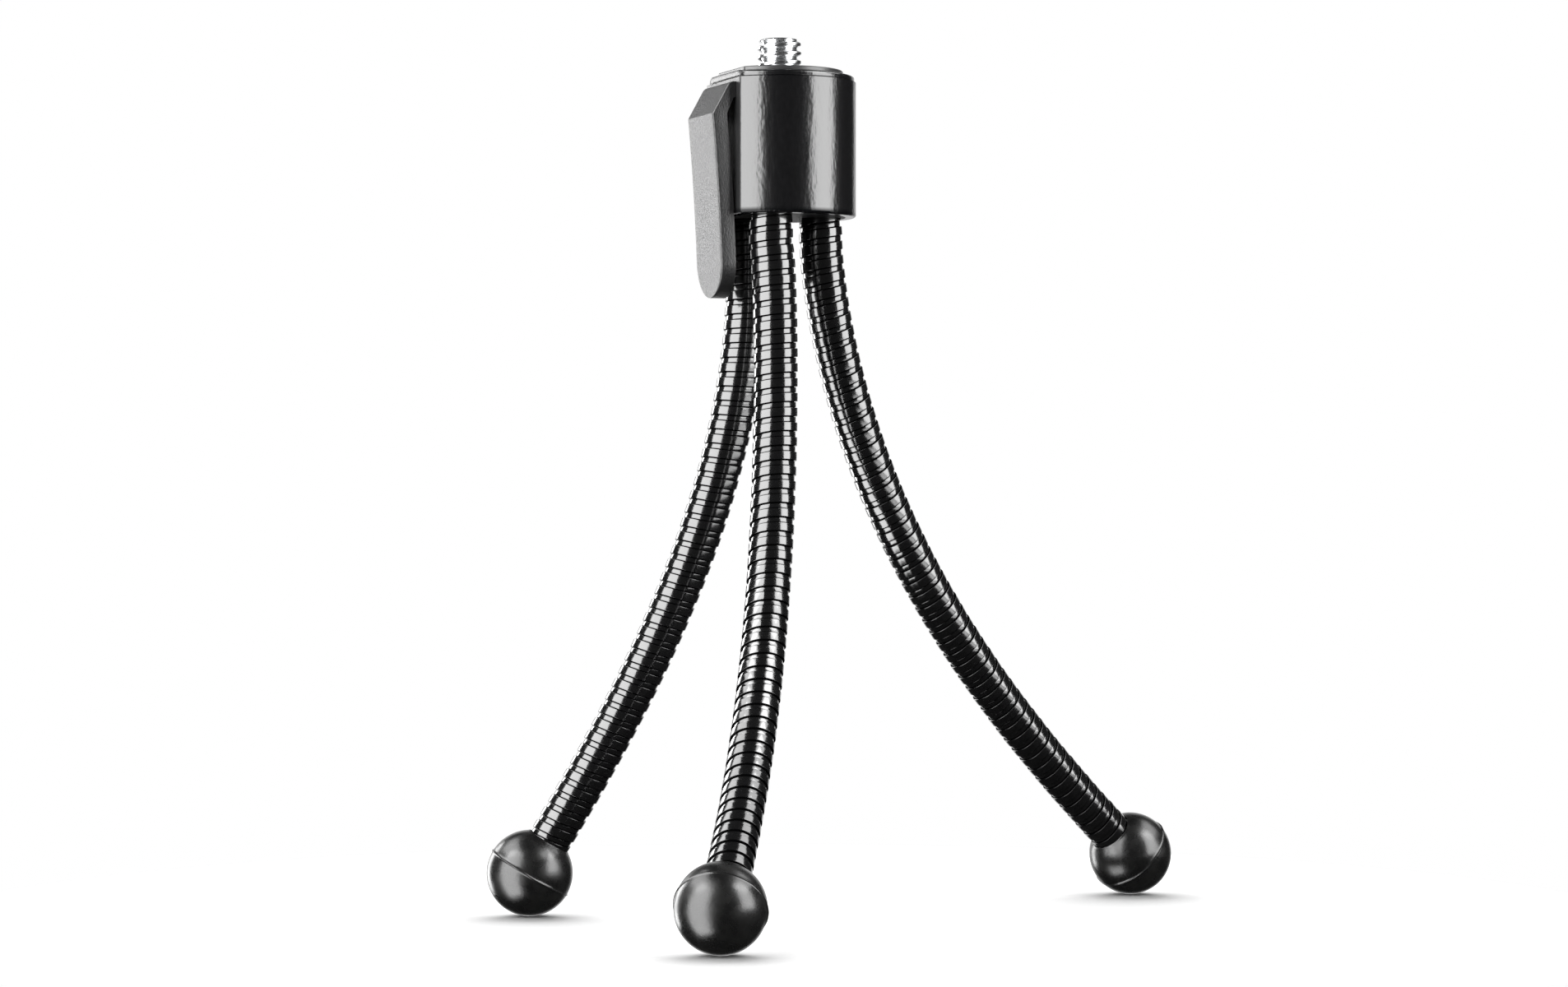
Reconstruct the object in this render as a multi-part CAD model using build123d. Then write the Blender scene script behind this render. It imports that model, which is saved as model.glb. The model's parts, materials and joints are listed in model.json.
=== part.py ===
from build123d import *
import math
import os

# Flexible leg tripod with a spring clip on its head, in millimetres, +Z up.
# The origin is on the camera screw's axis, at the seat that the camera stands on.

# Head
seat_to_ground = 121.0
head_radius = 10.95
flat_distance = 8.6
head_wall = 1.5
deck_thickness = 2.0
corner_round = 0.8
bottom_round = 0.35
head_bottom_depth = 20.9

# Lid and pad under the camera
pad_radius = 9.1
pad_flat_distance = 7.4
pad_thickness = 0.55
pad_chamfer = 0.12
lid_thickness = 1.1
lid_setback = 0.24
lid_round = 0.45

# Camera screw, 1/4 inch, 20 turns to the inch
screw_radius = 3.175
screw_height = 4.65
screw_chamfer = 0.4
neck_radius = 2.9
hex_across_flats = 9.5
hex_height = 2.5
hex_boss_wall = 1.2

# Spring clip, its distances measured outward from the screw axis
clip_azimuth = 201.4
clip_width = 10.4
clip_thickness = 2.2
clip_shoulder_distance = 12.1
clip_shoulder_depth = 6.8
clip_middle_distance = 11.1
clip_middle_depth = 20.2
clip_end_distance = 10.6
clip_end_depth = 32.6
clip_edge_round = 0.3
bead_radius = 1.1
bead_distance = 8.9
bead_depth = 3.3
stop_width = 6.0
stop_depth = 7.4
stop_gap = 0.3

# Wound legs
winding_radius = 2.95
turn_pitch = 2.12
groove_width = 0.85
groove_depth = 0.45
bore_radius = 1.2
links_in_height = 6.745
largest_bend = 15.0
ball_reach = 1.5
cup_angle = 28.0

# Base plate and the sockets that hold the legs
root_circle_radius = 6.2
first_root_azimuth = 19.0
plate_thickness = 2.4
socket_wall = 0.9
socket_height = 8.6

# Ball feet
foot_radius = 6.2
parting_height = 0.1
parting_width = 0.4
grip_depth = 7.0

# Clearances and the overrun of cuts
seat_gap = 0.04
glue_gap = 0.05
overrun = 1.0

# Each leg: its place on the root circle, the length that it shows above its first bend, the
# heading that it bends to, and the tilt of its links from straight down
right_reveal = 6.8
left_reveal = 1.8
front_reveal = 4.2
legs = {
    "right": (0, right_reveal, 35.5, (12.0, 21.0, 29.0, 35.6, 41.0, 45.2, 48.6)),
    "left": (1, left_reveal, 183.0, (1.5, 9.5, 16.0, 21.7, 26.0, 29.3, 31.2)),
    "front": (2, front_reveal, 261.5, (1.0, 6.5, 14.5, 24.0, 34.5, 45.0, 54.0)),
}

crown_half_gap = groove_width / 2
floor_radius = winding_radius - groove_depth
height_under_head = seat_to_ground - head_bottom_depth
link_turns = round(height_under_head / (links_in_height * turn_pitch))
link_length = link_turns * turn_pitch
lid_top = -pad_thickness
lid_bottom = lid_top - lid_thickness
deck_bottom = lid_bottom - deck_thickness


def save(shape, node):
    export_step(shape, f"parts/{node}.step")


def sine(degrees):
    return math.sin(math.radians(degrees))


def cosine(degrees):
    return math.cos(math.radians(degrees))


def turned(points):
    """Solid of revolution about Z of a closed outline of (radius, height) points."""
    with BuildPart() as solid:
        with BuildSketch(Plane.XZ):
            with BuildLine():
                Polyline(*points, close=True)
            make_face()
        revolve(axis=Axis.Z)
    return solid.part


# Head, drawn with its flat side and clip towards +X and then turned to the clip's heading


def cut_circle(radius, flat, rounding):
    """Disc with one straight side, its two corners rounded."""
    disc = Circle(radius)
    beyond = Pos(flat + radius, 0) * Rectangle(2 * radius, 2 * radius)
    outline = disc - beyond
    return fillet(outline.vertices().sort_by(Axis.X)[-2:], rounding)


def slab(outline, bottom, top):
    return extrude(Pos(0, 0, bottom) * outline, top - bottom)


def root_places():
    """Places of the three legs on the root circle, from the head's own +X."""
    places = []
    for index in range(3):
        azimuth = first_root_azimuth + index * 360 / 3 - clip_azimuth
        places.append(Pos(root_circle_radius * cosine(azimuth), root_circle_radius * sine(azimuth)))
    return places


def hex_outline(gap=0.0):
    return RegularPolygon((hex_across_flats / 2 + gap) / cosine(180 / 6), 6)


def head_shell():
    outer = slab(cut_circle(head_radius, flat_distance, corner_round), -head_bottom_depth, lid_bottom)
    outer = fillet(outer.faces().sort_by(Axis.Z)[0].edges(), bottom_round)
    inside = cut_circle(head_radius - head_wall, flat_distance - head_wall, corner_round)
    cavity = slab(inside, -head_bottom_depth - overrun, deck_bottom)
    boss = slab(Circle(hex_across_flats / 2 + hex_boss_wall), deck_bottom - hex_height, deck_bottom)
    pocket = slab(hex_outline(glue_gap), deck_bottom - hex_height - overrun, deck_bottom)
    neck_hole = slab(Circle(neck_radius + glue_gap), deck_bottom - overrun, lid_bottom + overrun)
    groove = Pos(bead_distance, 0, -bead_depth) * Rot(90, 0, 0) * Cylinder(
        bead_radius + seat_gap, clip_width + 2 * glue_gap
    )
    return outer - cavity + (boss - pocket) - neck_hole - groove


def head_lid():
    outline = cut_circle(head_radius - lid_setback, flat_distance - lid_setback, corner_round)
    lid = slab(outline, lid_bottom, lid_top)
    lid = fillet(lid.faces().sort_by(Axis.Z)[-1].edges(), lid_round)
    return lid - slab(Circle(neck_radius + glue_gap), lid_bottom - overrun, lid_top + overrun)


def camera_pad():
    pad = slab(cut_circle(pad_radius, pad_flat_distance, corner_round), lid_top, 0)
    pad = chamfer(pad.faces().sort_by(Axis.Z)[-1].edges(), pad_chamfer)
    return pad - slab(Circle(screw_radius + glue_gap), lid_top - overrun, overrun)


def camera_screw():
    thread = slab(Circle(screw_radius), 0, screw_height)
    thread = chamfer(thread.faces().sort_by(Axis.Z)[-1].edges(), screw_chamfer)
    neck = slab(Circle(neck_radius), deck_bottom, 0)
    captive_head = slab(hex_outline(), deck_bottom - hex_height, deck_bottom)
    return thread + neck + captive_head


def base_plate():
    inside = cut_circle(
        head_radius - head_wall - glue_gap, flat_distance - head_wall - glue_gap, corner_round
    )
    plate = slab(inside, -head_bottom_depth, -head_bottom_depth + plate_thickness)
    limits = slab(inside, -head_bottom_depth, -head_bottom_depth + socket_height)
    for place in root_places():
        socket = slab(
            Circle(winding_radius + glue_gap + socket_wall),
            -head_bottom_depth,
            -head_bottom_depth + socket_height,
        )
        plate += (place * socket) & limits
    for place in root_places():
        hole = slab(
            Circle(winding_radius + glue_gap),
            -head_bottom_depth - overrun,
            -head_bottom_depth + socket_height + overrun,
        )
        plate -= place * hole
    return plate


def clip():
    """Bead in the head's groove, sloping shoulder, long arm with a round end, and a stop."""
    shoulder = (clip_shoulder_distance, -clip_shoulder_depth)
    middle = (clip_middle_distance, -clip_middle_depth)
    end = (clip_end_distance, -clip_end_depth)
    inner_shoulder = (shoulder[0] - clip_thickness, shoulder[1])
    inner_middle = (middle[0] - clip_thickness, middle[1])
    inner_end = (end[0] - clip_thickness, end[1])
    bead_top = (bead_distance, -bead_depth + bead_radius)
    bead_low = (bead_distance, -bead_depth - bead_radius)
    with BuildPart() as arm:
        with BuildSketch(Plane.XZ):
            with BuildLine():
                Line(bead_top, shoulder)
                ThreePointArc(shoulder, middle, end)
                Line(end, inner_end)
                ThreePointArc(inner_end, inner_middle, inner_shoulder)
                Line(inner_shoulder, bead_low)
                Line(bead_low, bead_top)
            make_face()
        extrude(amount=clip_width / 2, both=True)
    straight = clip_end_depth - clip_width / 2
    front = Pos(0, -straight / 2) * Rectangle(clip_width, straight)
    front += Pos(0, -straight) * Circle(clip_width / 2)
    window = Plane(origin=(0, 0, 0), x_dir=(0, 1, 0), z_dir=(1, 0, 0)) * front
    trimmed = arm.part & extrude(window, clip_shoulder_distance + overrun)
    outer_edges = trimmed.faces().sort_by(Axis.X)[-1].edges()
    trimmed = fillet(outer_edges.filter_by(GeomType.LINE, reverse=True), clip_edge_round)
    bead = Pos(bead_distance, 0, -bead_depth) * Rot(90, 0, 0) * Cylinder(bead_radius, clip_width)
    stop_inner = flat_distance + stop_gap
    stop_outer = clip_shoulder_distance - clip_thickness / 2
    stop = Pos((stop_inner + stop_outer) / 2, 0, -(bead_depth + bead_radius + stop_depth) / 2) * Box(
        stop_outer - stop_inner, stop_width, stop_depth - bead_depth - bead_radius
    )
    return trimmed + bead + stop


# Wound legs, each link drawn from its upper bend, with Z running down the leg


def winding(turns):
    """Crowns and grooves from half a groove after zero to half a groove before the last turn's end."""
    points = []
    for turn in range(turns):
        start = turn * turn_pitch + crown_half_gap
        end = (turn + 1) * turn_pitch - crown_half_gap
        if turn > 0:
            points.append((floor_radius, start))
        points.append((winding_radius, start))
        points.append((winding_radius, end))
        if turn < turns - 1:
            points.append((floor_radius, end))
    return points


def cup():
    """Outline of the hollow that takes the ball of the link above, touching its sphere's outside."""
    sphere = floor_radius + seat_gap
    edge_angle = math.degrees(math.acos(ball_reach / floor_radius))
    depth = floor_radius * cosine(edge_angle - largest_bend) + seat_gap
    mouth_radius = (sphere - crown_half_gap * sine(cup_angle)) / cosine(cup_angle)
    floor_edge_radius = (sphere - depth * sine(cup_angle)) / cosine(cup_angle)
    return [(bore_radius, depth), (floor_edge_radius, depth), (mouth_radius, crown_half_gap)]


def ball(length):
    """Outline of a ball about the lower bend, of bands that lie inside its sphere."""
    band_radius = math.sqrt(floor_radius**2 - crown_half_gap**2)
    tip_radius = math.sqrt(floor_radius**2 - ball_reach**2)
    return [
        (band_radius, length - crown_half_gap),
        (band_radius, length + crown_half_gap),
        (tip_radius, length + ball_reach),
        (bore_radius, length + ball_reach),
    ]


def stub(turns):
    """Upper end of a leg, held in its socket, with the first ball below it."""
    return turned([(bore_radius, crown_half_gap)] + winding(turns) + ball(turns * turn_pitch))


def link():
    return turned(cup() + winding(link_turns) + ball(link_length))


def foot_entry(turns):
    """Distance from the last bend to the centre of the foot."""
    return turns * turn_pitch + math.sqrt(foot_radius**2 - winding_radius**2)


def end_link(turns):
    """Last turns of a leg, run on as a plain ferrule inside the foot."""
    tip = foot_entry(turns) - foot_radius + grip_depth
    ferrule = [
        (floor_radius, turns * turn_pitch - crown_half_gap),
        (floor_radius, turns * turn_pitch + crown_half_gap),
        (winding_radius, turns * turn_pitch + crown_half_gap),
        (winding_radius, tip),
        (bore_radius, tip),
    ]
    return turned(cup() + winding(turns) + ferrule)


def foot():
    """Rubber ball about zero, with its bore for the leg and the raised line of its mould."""
    hole_radius = winding_radius + glue_gap
    hole_bottom = grip_depth - foot_radius + glue_gap
    line_height = parting_width / 2
    line_radius = math.sqrt(foot_radius**2 - line_height**2)
    mouth = -math.sqrt(foot_radius**2 - hole_radius**2)
    upper_middle = (foot_radius * cosine(35), -foot_radius * sine(35))
    lower_middle = (foot_radius * cosine(45), foot_radius * sine(45))
    with BuildPart() as solid:
        with BuildSketch(Plane.XZ):
            with BuildLine():
                Line((0, hole_bottom), (hole_radius, hole_bottom))
                Line((hole_radius, hole_bottom), (hole_radius, mouth))
                ThreePointArc((hole_radius, mouth), upper_middle, (line_radius, -line_height))
                Line((line_radius, -line_height), (foot_radius + parting_height, 0))
                Line((foot_radius + parting_height, 0), (line_radius, line_height))
                ThreePointArc((line_radius, line_height), lower_middle, (0, foot_radius))
                Line((0, foot_radius), (0, hole_bottom))
            make_face()
        revolve(axis=Axis.Z)
    return solid.part


def turns_to_foot(reveal, tilts):
    """Whole turns of the last link that bring the foot nearest to the ground."""
    drop = link_length * sum(cosine(tilt) for tilt in tilts[:-1])
    remaining = (height_under_head - reveal - drop - foot_radius) / cosine(tilts[-1])
    return max(1, round((remaining - foot_entry(0)) / turn_pitch))


def leg_frames(index, heading, tilts, end_turns):
    """Frames at the bends of a leg whose foot stands on the ground: origin at the bend, Z down the leg."""
    azimuth = first_root_azimuth + index * 360 / 3
    lengths = [link_length] * (len(tilts) - 1) + [foot_entry(end_turns)]
    drop = sum(length * cosine(tilt) for length, tilt in zip(lengths, tilts))
    height = foot_radius - seat_to_ground + drop
    side = Vector(sine(heading), -cosine(heading), 0)
    point = Vector(root_circle_radius * cosine(azimuth), root_circle_radius * sine(azimuth), height)
    frames = []
    for length, tilt in zip(lengths, tilts):
        down = Vector(cosine(heading) * sine(tilt), sine(heading) * sine(tilt), -cosine(tilt))
        frames.append(Plane(origin=point, x_dir=side, z_dir=down))
        point = point + down * length
    frames.append(Plane(origin=point, x_dir=side, z_dir=down))
    return frames


def make_leg(name, index, reveal, heading, tilts):
    end_turns = turns_to_foot(reveal, tilts)
    frames = leg_frames(index, heading, tilts, end_turns)
    stub_turns = math.ceil((reveal + socket_height) / turn_pitch)
    top = frames[0].origin + Vector(0, 0, stub_turns * turn_pitch)
    down = Plane(origin=top, x_dir=frames[0].x_dir, z_dir=(0, 0, -1))
    save(stub(stub_turns).moved(down.location), f"{name}_stub")
    for number, frame in enumerate(frames[:-2], start=1):
        save(link().moved(frame.location), f"{name}_link_{number}")
    save(end_link(end_turns).moved(frames[-2].location), f"{name}_link_{len(tilts)}")
    save(foot().moved(frames[-1].location), f"{name}_foot")
    shown = -head_bottom_depth - frames[0].origin.Z
    print(f"{name}: {shown:.2f} mm from the head to the first bend, {end_turns} turns on the last link")


os.makedirs("parts", exist_ok=True)
turn_to_clip = Rot(0, 0, clip_azimuth)
save(turn_to_clip * head_shell(), "head_shell")
save(turn_to_clip * head_lid(), "head_lid")
save(turn_to_clip * camera_pad(), "camera_pad")
save(turn_to_clip * camera_screw(), "camera_screw")
save(turn_to_clip * base_plate(), "base_plate")
save(turn_to_clip * clip(), "clip")
for leg_name, values in legs.items():
    make_leg(leg_name, *values)
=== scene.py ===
# %% [markdown]
# # A pocket tripod on three wound legs
# The solids come in first and stay the frame for everything that follows. Their box is kept, and
# the floor is laid just under its lowest point.

# %% Load the imported tripod
import bpy
import json
import math
import numpy as np
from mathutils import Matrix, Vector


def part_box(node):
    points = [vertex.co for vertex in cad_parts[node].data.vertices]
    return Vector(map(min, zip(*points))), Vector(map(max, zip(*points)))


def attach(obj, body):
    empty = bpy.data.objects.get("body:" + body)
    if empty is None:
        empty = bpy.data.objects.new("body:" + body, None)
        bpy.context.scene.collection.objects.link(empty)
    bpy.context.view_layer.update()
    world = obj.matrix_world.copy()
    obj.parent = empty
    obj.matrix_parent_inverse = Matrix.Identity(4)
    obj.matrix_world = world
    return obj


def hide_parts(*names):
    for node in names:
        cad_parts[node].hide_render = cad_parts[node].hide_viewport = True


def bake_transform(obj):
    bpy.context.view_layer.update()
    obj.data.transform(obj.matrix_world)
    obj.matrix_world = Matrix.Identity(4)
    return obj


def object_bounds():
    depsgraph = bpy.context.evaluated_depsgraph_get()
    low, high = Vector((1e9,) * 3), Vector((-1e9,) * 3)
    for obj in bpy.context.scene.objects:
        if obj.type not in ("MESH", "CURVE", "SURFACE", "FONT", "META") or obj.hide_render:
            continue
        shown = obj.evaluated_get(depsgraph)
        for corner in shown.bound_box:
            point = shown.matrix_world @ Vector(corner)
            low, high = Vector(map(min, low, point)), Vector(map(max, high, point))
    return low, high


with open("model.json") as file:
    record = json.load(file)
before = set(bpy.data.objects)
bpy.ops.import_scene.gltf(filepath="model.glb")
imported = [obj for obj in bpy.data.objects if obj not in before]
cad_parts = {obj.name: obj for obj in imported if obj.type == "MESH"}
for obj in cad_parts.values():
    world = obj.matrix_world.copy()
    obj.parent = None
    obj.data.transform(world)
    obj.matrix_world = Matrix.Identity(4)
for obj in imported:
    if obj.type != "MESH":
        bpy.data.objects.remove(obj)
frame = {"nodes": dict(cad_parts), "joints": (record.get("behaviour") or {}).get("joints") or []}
cad_low, cad_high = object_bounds()
MM = 0.001

# %% [markdown]
# ## Camera
# The photograph looks almost level at the tripod from more than half a metre away. The camera's
# place and lens were worked out from the screw, the head and the three feet.

# %% Camera
CAMERA_PLACE = (0.65, -576.5, -62.7)
CAMERA_PITCH = 0.234
LENS = 92.55
camera_data = bpy.data.cameras.new("camera")
camera_data.lens = LENS
camera_data.sensor_width = 36
camera_data.clip_start = 0.01
camera = bpy.data.objects.new("camera", camera_data)
camera.location = [value * MM for value in CAMERA_PLACE]
camera.rotation_euler = (math.radians(90 + CAMERA_PITCH), 0, 0)
bpy.context.scene.collection.objects.link(camera)
bpy.context.scene.camera = camera
print("camera stands", round(-CAMERA_PLACE[1]), "mm in front of the screw")

# %% [markdown]
# ## Materials
# Everything on this tripod but its screw is black, so what tells the finishes apart is how they
# throw back the light. Each finish is a principled shader. Noise over the piece's own coordinates
# then lifts its surface, roughens it and tints it, and each finish has a grain of its own.

# %% A plain shader
COAT_ROUGHNESS = 0.12


def new_material(name, colour, roughness, ior=1.5, metallic=0.0, coat=0.0):
    """Principled material with its constants on the shader's own sockets."""
    material = bpy.data.materials.new(name)
    material.use_nodes = True
    shader = material.node_tree.nodes["Principled BSDF"]
    shader.inputs["Base Color"].default_value = (*colour, 1)
    shader.inputs["Roughness"].default_value = roughness
    shader.inputs["IOR"].default_value = ior
    shader.inputs["Metallic"].default_value = metallic
    shader.inputs["Coat Weight"].default_value = coat
    shader.inputs["Coat Roughness"].default_value = COAT_ROUGHNESS
    return material


def add_node(tree, kind, inputs, **settings):
    """Outputs of a new node. An input is joined where it is given a socket, and set where it is
    given a number."""
    node = tree.nodes.new(kind)
    for name, value in settings.items():
        setattr(node, name, value)
    for name, value in inputs.items():
        if isinstance(value, bpy.types.NodeSocket):
            tree.links.new(value, node.inputs[name])
        else:
            node.inputs[name].default_value = value
    return node.outputs


print("a shader starts with a colour, a roughness and a refraction")

# %% Grain for a shader
def noise_on(material, scale, stretch=(1, 1, 1), detail=3.0):
    """Noise over the object's own coordinates, finer or coarser along each axis."""
    tree = material.node_tree
    place = add_node(tree, "ShaderNodeTexCoord", {})
    mapping = add_node(tree, "ShaderNodeMapping", {"Vector": place["Object"], "Scale": stretch})
    noise = {"Vector": mapping["Vector"], "Scale": scale, "Detail": detail}
    return add_node(tree, "ShaderNodeTexNoise", noise)["Fac"]


def add_grain(material, value, strength, depth_mm):
    """Height of the surface from a value, after any height it already has."""
    tree = material.node_tree
    normal = tree.nodes["Principled BSDF"].inputs["Normal"]
    bump = {"Height": value, "Strength": strength, "Distance": depth_mm * MM}
    if normal.is_linked:
        bump["Normal"] = normal.links[0].from_socket
    tree.links.new(add_node(tree, "ShaderNodeBump", bump)["Normal"], normal)


def vary(material, socket, value, low, high, span=(0.3, 0.7)):
    """A socket that runs between two numbers, or two colours, while a value runs over its span."""
    tree = material.node_tree
    target = tree.nodes["Principled BSDF"].inputs[socket]
    if socket == "Base Color":
        ramp = tree.nodes.new("ShaderNodeValToRGB")
        for element, place, colour in zip(ramp.color_ramp.elements, span, (low, high)):
            element.position = place
            element.color = (*colour, 1)
        tree.links.new(value, ramp.inputs["Fac"])
        tree.links.new(ramp.outputs["Color"], target)
        return
    remap = add_node(tree, "ShaderNodeMapRange", {
        "Value": value, "From Min": span[0], "From Max": span[1], "To Min": low, "To Max": high,
    })
    tree.links.new(remap["Result"], target)


print("noise can now lift a surface, roughen it and tint it")

# %% [markdown]
# ## Head plastic
# The head is moulded in glossy black plastic. Its skin flowed down the mould, which left faint
# upright ripples that make the edges of the reflections waver. Its flat side behind the clip is a
# little duller, and its lower rim carries painted shade: the gloss is turned down there, so the rim
# reads darker. A blend between two values along a direction is enough for that, as both follow the
# shape and not the noise.

# %% Helpers for moulded plastic
def moulded_plastic(name):
    """Glossy black with upright ripples and small pits."""
    material = new_material(name, (0.003, 0.003, 0.0035), roughness=0.2, ior=1.95)
    ripples = noise_on(material, scale=900, stretch=(1, 1, 0.22))
    add_grain(material, ripples, strength=0.5, depth_mm=0.09)
    pits = noise_on(material, scale=1900, stretch=(1, 1, 0.7), detail=4.0)
    add_grain(material, pits, strength=0.5, depth_mm=0.055)
    vary(material, "Base Color", pits, (0.002, 0.002, 0.0024), (0.0045, 0.0045, 0.005))
    return material


def measure(tree, operation, first, second):
    """Number worked out from two vectors, each a socket or three numbers."""
    vectors = {0: first, 1: second}
    return add_node(tree, "ShaderNodeVectorMath", vectors, operation=operation)["Value"]


def along_direction(material, direction):
    """Distance in metres of a point along a direction, from the object's own coordinates."""
    place = add_node(material.node_tree, "ShaderNodeTexCoord", {})
    return measure(material.node_tree, "DOT_PRODUCT", place["Object"], direction)


CLIP_HEADING = math.radians(201.4)
TO_CLIP = (math.cos(CLIP_HEADING), math.sin(CLIP_HEADING), 0)
print("the clip hangs towards", round(math.degrees(CLIP_HEADING), 1), "degrees")

# %% Head plastic
FLAT_STARTS = (0.00840, 0.00855)
RIM_SHADE_STARTS = (-0.0205, -0.0200)
head_plastic = moulded_plastic("head_plastic")
head_flat = along_direction(head_plastic, TO_CLIP)
vary(head_plastic, "Roughness", head_flat, 0.2, 0.4, span=FLAT_STARTS)
# Painted shade: below the rim's height the gloss falls away, which darkens the lower rim
head_height = along_direction(head_plastic, (0, 0, 1))
vary(head_plastic, "Specular IOR Level", head_height, 0.08, 0.5, span=RIM_SHADE_STARTS)
print("dull from", FLAT_STARTS[0] / MM, "mm outwards, dark below", RIM_SHADE_STARTS[1] / MM, "mm")

# %% [markdown]
# ## Clip plastic
# The clip came out of a spark-eroded mould: its matt skin is full of fine grain, so the lamps show
# as one soft grey sheen.

# %% Clip plastic
clip_plastic = new_material("clip_plastic", (0.01, 0.01, 0.0105), roughness=0.4, ior=1.75)
clip_grain = noise_on(clip_plastic, scale=5200, stretch=(1, 1, 0.5), detail=4.0)
add_grain(clip_plastic, clip_grain, strength=0.7, depth_mm=0.07)
vary(clip_plastic, "Roughness", clip_grain, 0.34, 0.46)
clip_cloud = noise_on(clip_plastic, scale=700)
vary(clip_plastic, "Base Color", clip_cloud, (0.005, 0.005, 0.0053), (0.009, 0.009, 0.0094))
print("clip plastic has", len(clip_plastic.node_tree.nodes), "nodes")

# %% [markdown]
# ## Base, pad and feet
# The plate under the head stays in shadow and only needs a matt black. The pad and the feet are
# rubber: the pad has an even fine grain, and the balls of the feet are smoother, with cloudy
# patches from being handled. Slow noise drives those patches and fast noise the grain.

# %% Base plastic
base_plastic = new_material("base_plastic", (0.003, 0.003, 0.0032), roughness=0.5, ior=1.3)
base_grain = noise_on(base_plastic, scale=3000)
add_grain(base_plastic, base_grain, strength=0.3, depth_mm=0.04)
vary(base_plastic, "Roughness", base_grain, 0.45, 0.6)
print("made", base_plastic.name)

# %% Pad rubber and foot rubber
pad_rubber = new_material("pad_rubber", (0.026, 0.026, 0.0265), roughness=0.33, ior=1.9)
pad_grain = noise_on(pad_rubber, scale=6500, detail=4.0)
add_grain(pad_rubber, pad_grain, strength=0.28, depth_mm=0.03)
vary(pad_rubber, "Roughness", pad_grain, 0.3, 0.44)

foot_rubber = new_material("foot_rubber", (0.006, 0.006, 0.0062), roughness=0.3, ior=1.75)
foot_cloud = noise_on(foot_rubber, scale=420, detail=5.0)
vary(foot_rubber, "Roughness", foot_cloud, 0.22, 0.34)
vary(foot_rubber, "Base Color", foot_cloud, (0.004, 0.004, 0.004), (0.010, 0.010, 0.0095))
foot_grain = noise_on(foot_rubber, scale=2600, detail=4.0)
add_grain(foot_rubber, foot_grain, strength=0.22, depth_mm=0.05)
print("rubbers:", pad_rubber.name, foot_rubber.name)

# %% [markdown]
# ## Wire and plating
# The winding is steel wire under a hard gloss finish, and the screw is plated steel. Both throw
# back crisp lights. The finish of the wire is built up from a dark base and a clear coat. Deep
# between two turns shade is painted in: a value stored on the winding's points takes the gloss
# and the coat away there, which draws the dark lines between the wires.

# %% Winding finish
black_winding = new_material(
    "black_winding", (0.003, 0.003, 0.0032), roughness=0.13, ior=2.0, coat=0.6
)
wire_grain = noise_on(black_winding, scale=5200)
add_grain(black_winding, wire_grain, strength=0.45, depth_mm=0.012)
vary(black_winding, "Roughness", wire_grain, 0.1, 0.2)
# Painted shade between the turns: the stored value turns the gloss and the coat down there
painted_gap_shade = add_node(black_winding.node_tree, "ShaderNodeAttribute", {}, attribute_name="painted_gap_shade")["Fac"]
vary(black_winding, "Specular IOR Level", painted_gap_shade, 0.5, 0.02, span=(0, 1))
vary(black_winding, "Coat Weight", painted_gap_shade, 0.6, 0.0, span=(0, 1))
print("the winding's gloss follows the gap stored on its points")

# %% Screw plating
chrome_screw = new_material("chrome_screw", (0.86, 0.87, 0.88), roughness=0.12, metallic=1.0)
plating = noise_on(chrome_screw, scale=2400, stretch=(1, 1, 3.0), detail=4.0)
add_grain(chrome_screw, plating, strength=0.25, depth_mm=0.02)
vary(chrome_screw, "Roughness", plating, 0.14, 0.28)
print("materials:", sorted(material.name for material in bpy.data.materials))

# %% [markdown]
# ## The solids that stay
# The head, the pad and the base plate already have their real shape in the frame, so they only get
# their finish. Drawing them again could only move them away from the solids.

# %% Dress the solids that stay
def dress(node, material):
    """The one material of a solid of the frame."""
    mesh = frame["nodes"][node].data
    mesh.materials.clear()
    mesh.materials.append(material)


dress("head_shell", head_plastic)
dress("camera_pad", pad_rubber)
dress("base_plate", base_plastic)
print("dressed the head, its pad and its base plate")

# %% [markdown]
# ## Surfaces
# Each new piece is a grid of points worked out in millimetres. The first helper turns points and
# the corner numbers of faces into an object whose place is in its mesh, and the others join rings
# of points and close their ends.

# %% Points and faces into an object
def add_piece(name, points, faces, material, sharp=38.0):
    """Object from points in millimetres. Edges that turn by more than the sharp angle are crisp."""
    mesh = bpy.data.meshes.new(name)
    mesh.from_pydata((points * MM).tolist(), [], faces)
    mesh.materials.append(material)
    mesh.shade_smooth()
    mesh.set_sharp_from_angle(angle=math.radians(sharp))
    piece = bpy.data.objects.new(name, mesh)
    bpy.context.scene.collection.objects.link(piece)
    print(name, "has", len(faces), "faces")
    return piece


print("a new piece has its place in its mesh")

# %% Rings of points into a skin
def fan(loop, apex, outwards):
    """Triangles from a loop of corners to one point."""
    following = np.roll(loop, -1)
    pair = (loop, following) if outwards else (following, loop)
    return np.stack([pair[0], pair[1], np.full(len(loop), apex)], -1).tolist()


def skin(grid, first, last, flipped, before=0):
    """Points and faces of a stack of closed rings, with a point closing each end. Corner numbers
    start after the points that come before."""
    rows, columns = grid.shape[:2]
    ids = np.arange(rows * columns).reshape(rows, columns) + before
    after = np.roll(ids, -1, 1)
    quads = np.stack([ids[:-1], after[:-1], after[1:], ids[1:]], -1).reshape(-1, 4)
    if flipped:
        quads = quads[:, ::-1]
    total = before + rows * columns
    faces = quads.tolist() + fan(ids[0], total, flipped) + fan(ids[-1], total + 1, not flipped)
    return np.vstack([grid.reshape(-1, 3), first, last]), faces


print("rings can now be joined and closed")

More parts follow.
